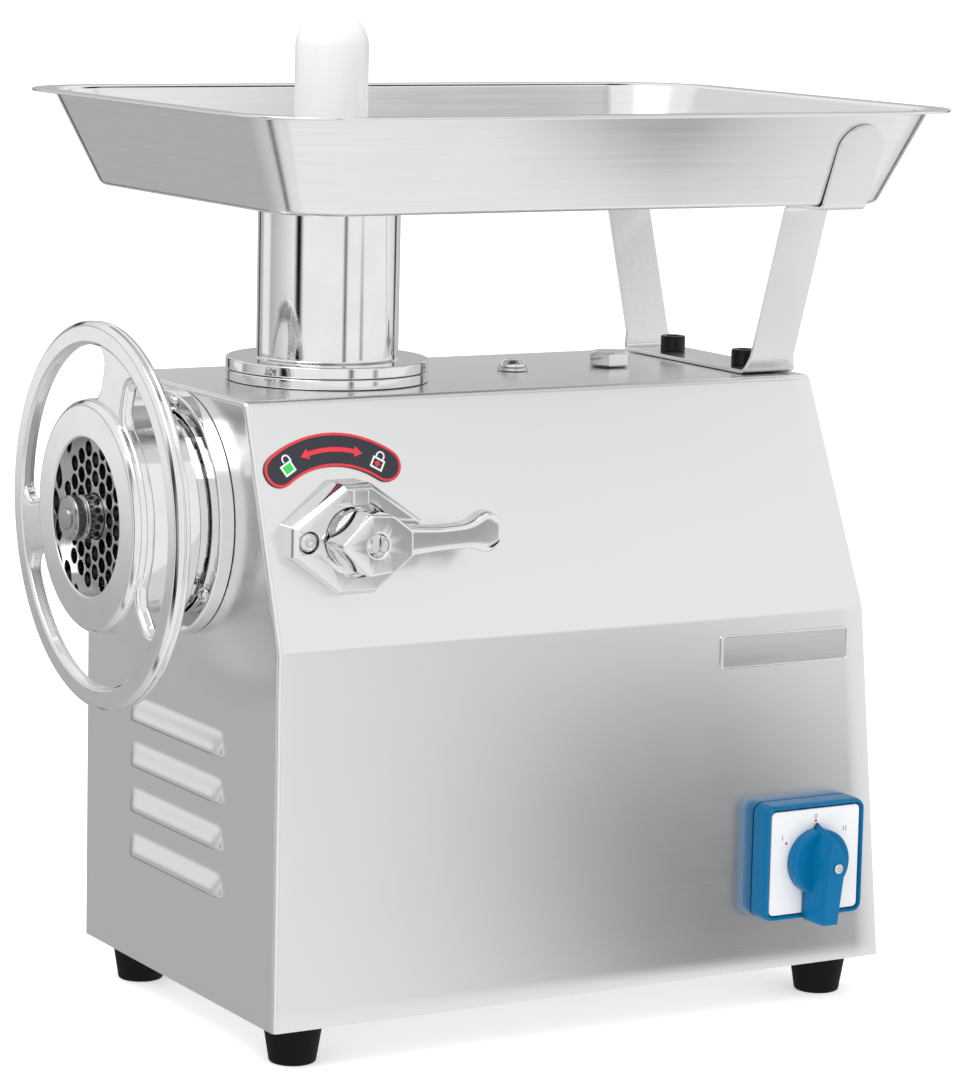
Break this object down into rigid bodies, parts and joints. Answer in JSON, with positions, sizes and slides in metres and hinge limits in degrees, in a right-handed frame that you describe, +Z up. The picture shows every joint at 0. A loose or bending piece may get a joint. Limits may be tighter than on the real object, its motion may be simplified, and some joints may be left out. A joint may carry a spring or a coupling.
{
  "type": "electric meat grinder",
  "caption": "Bench meat grinder with a food tray, feed tube and pusher, a pull-out grinding head with a handwheel ring nut, a clamp lever and a rotary switch.",
  "frame": {"origin": "middle of the footprint, on the surface the feet stand on", "axes": "+Z up, the meat outlet and handwheel face -Y, the switch and clamp lever are on the +X side"},
  "size_m": [0.298, 0.4356, 0.504],
  "materials": {
    "brushed_steel": "satin, brushed grain",
    "polished_steel": "mirror polish",
    "cast_aluminium": "as cast, tumbled",
    "gear_steel": "ground and oiled",
    "black_oxide": "satin black oxide",
    "winding": "varnished",
    "black_rubber": "matt",
    "blue_plastic": "gloss",
    "white_plastic": "satin",
    "dark_plastic": "satin",
    "label_red": "printed film",
    "label_white": "printed film",
    "label_green": "printed film"
  },
  "bodies": {
    "root": {"housing_shell": "brushed_steel", "rear_cover": "brushed_steel", "base_plate": "brushed_steel", "cable_gland": "dark_plastic", "foot_front_left": "black_rubber", "foot_front_right": "black_rubber", "foot_rear_left": "black_rubber", "foot_rear_right": "black_rubber", "rear_screw_1": "brushed_steel", "rear_screw_2": "brushed_steel", "rear_screw_3": "brushed_steel", "rear_screw_4": "brushed_steel", "nameplate": "brushed_steel", "run_capacitor": "dark_plastic", "lid_screw": "brushed_steel", "lid_washer": "brushed_steel", "oil_plug": "polished_steel", "tray_bracket": "brushed_steel", "bracket_screw_left": "black_oxide", "bracket_screw_right": "black_oxide", "lid_ring": "polished_steel", "front_collar": "polished_steel", "collar_screw_1": "brushed_steel", "collar_screw_2": "brushed_steel", "collar_screw_3": "brushed_steel", "head_seat": "cast_aluminium", "clamp_block": "polished_steel", "clamp_screw_front": "brushed_steel", "clamp_screw_rear": "brushed_steel", "clamp_stop_pin": "polished_steel", "lever_label": "dark_plastic", "switch_frame": "blue_plastic", "switch_plate": "white_plastic", "switch_body": "dark_plastic", "gearbox_case": "cast_aluminium", "gearbox_cover": "cast_aluminium", "shaft_seal": "black_rubber", "output_bearing_front": "gear_steel", "output_bearing_rear": "gear_steel", "motor_stator": "winding", "motor_rear_bell": "cast_aluminium", "motor_cradle": "cast_aluminium"},
    "tube": {"feed_tube": "polished_steel"},
    "tray": {"tray": "brushed_steel"},
    "pusher": {"pusher": "white_plastic"},
    "head": {"head_barrel": "polished_steel"},
    "auger": {"auger": "polished_steel", "knife": "gear_steel"},
    "plate": {"hole_plate": "brushed_steel"},
    "nut": {"ring_nut": "polished_steel"},
    "lever": {"clamp_lever": "polished_steel"},
    "spindle": {"clamp_spindle": "gear_steel"},
    "knob": {"switch_knob": "blue_plastic", "knob_screw": "brushed_steel"},
    "motor": {"motor_shaft": "gear_steel", "motor_rotor": "gear_steel", "motor_fan": "dark_plastic"},
    "middle": {"middle_gears": "gear_steel"},
    "output": {"output_shaft": "gear_steel", "output_gear": "gear_steel"}
  },
  "joints": [
    {"name": "motor_spin", "type": "hinge", "parent": "root", "child": "motor", "pos_m": [0, 0.08479, 0.11966], "axis": [0, 1, 0], "continuous": true},
    {"name": "middle_spin", "type": "hinge", "parent": "root", "child": "middle", "pos_m": [0, 0.00479, 0.18928], "axis": [0, 1, 0], "continuous": true},
    {"name": "output_spin", "type": "hinge", "parent": "root", "child": "output", "pos_m": [0, -0.00521, 0.2589], "axis": [0, 1, 0], "continuous": true},
    {"name": "head_slide", "type": "slide", "parent": "root", "child": "head", "axis": [0, -1, 0], "range_m": [0, 0.175]},
    {"name": "auger_spin", "type": "hinge", "parent": "head", "child": "auger", "pos_m": [0, -0.10521, 0.2589], "axis": [0, 1, 0], "continuous": true},
    {"name": "plate_slide", "type": "slide", "parent": "head", "child": "plate", "axis": [0, -1, 0], "range_m": [0, 0.024]},
    {"name": "nut_turn", "type": "hinge", "parent": "plate", "child": "nut", "pos_m": [0, -0.18521, 0.2589], "axis": [0, -1, 0], "range_deg": [0, 1440]},
    {"name": "lever_turn", "type": "hinge", "parent": "root", "child": "lever", "pos_m": [0.11, -0.1106, 0.257], "axis": [1, 0, 0], "range_deg": [0, 150]},
    {"name": "spindle_slide", "type": "slide", "parent": "root", "child": "spindle", "axis": [1, 0, 0], "range_m": [0, 0.0021]},
    {"name": "knob_turn", "type": "hinge", "parent": "root", "child": "knob", "pos_m": [0.12, 0.1467, 0.079], "axis": [1, 0, 0], "range_deg": [-60, 60]},
    {"name": "tube_lift", "type": "slide", "parent": "root", "child": "tube", "axis": [0, 0, 1], "range_m": [0, 0.15]},
    {"name": "tray_lift", "type": "slide", "parent": "tube", "child": "tray", "axis": [0, 0, 1], "range_m": [0, 0.06]},
    {"name": "pusher_lift", "type": "slide", "parent": "tube", "child": "pusher", "axis": [0, 0, 1], "range_m": [0, 0.25]}
  ],
  "couplings": [
    {"joint": "middle_spin", "follows": "motor_spin", "ratio": -0.32353},
    {"joint": "output_spin", "follows": "motor_spin", "ratio": 0.13143},
    {"joint": "auger_spin", "follows": "motor_spin", "ratio": 0.13143},
    {"joint": "plate_slide", "follows": "nut_turn", "m_per_rad": 0.00095},
    {"joint": "spindle_slide", "follows": "lever_turn", "m_per_rad": 0.0008}
  ]
}
